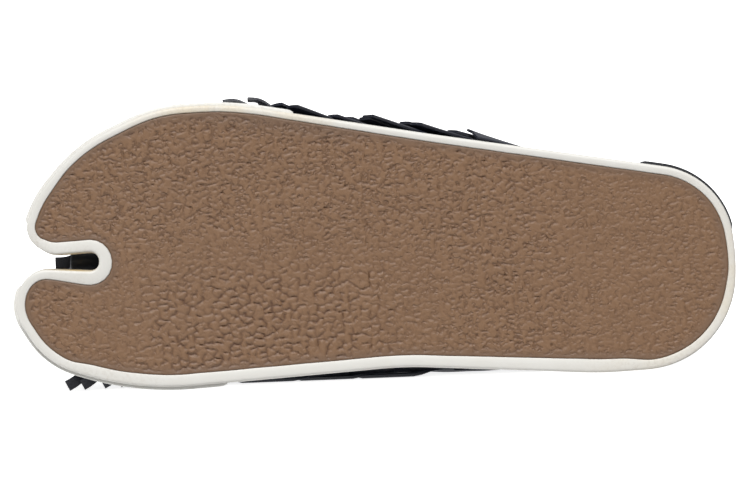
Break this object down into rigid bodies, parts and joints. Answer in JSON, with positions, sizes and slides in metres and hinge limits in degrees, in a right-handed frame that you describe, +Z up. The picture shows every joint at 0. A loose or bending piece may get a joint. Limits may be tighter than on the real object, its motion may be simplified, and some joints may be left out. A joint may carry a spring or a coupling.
{
  "type": "slide sandal",
  "caption": "Left split-toe slide sandal lying on its inner side: cupped rubber sole with a toe slot and textured tread, hollow leather vamp open at toe and heel, lapped rows of cut fringe.",
  "frame": {"origin": "centre of the bounding box, on the floor that the sandal lies on", "axes": "-X towards the toes, +X towards the heel; the tread faces -Y, leaning back 6 degrees; +Z up, from the inner side of the foot to the outer side"},
  "size_m": [0.2756, 0.0846, 0.1099],
  "materials": {
    "brown_rubber": "matt crackled tread rubber",
    "cream_rubber": "satin, slightly soiled",
    "white_rubber": "satin",
    "black_rubber": "satin",
    "insole_leather": "matt",
    "black_leather": "soft grain",
    "fringe_leather": "soft cut strips"
  },
  "bodies": {
    "root": {"outsole": "brown_rubber", "midsole": "cream_rubber", "toe_bumper_lateral": "white_rubber", "toe_bumper_medial": "white_rubber", "heel_strip": "black_rubber", "insole": "insole_leather", "upper": "black_leather", "fringe_row_1": "fringe_leather", "fringe_row_2": "fringe_leather", "fringe_row_3": "fringe_leather", "fringe_row_4": "fringe_leather", "fringe_row_5": "fringe_leather", "fringe_row_6": "fringe_leather"}
  },
  "joints": []
}
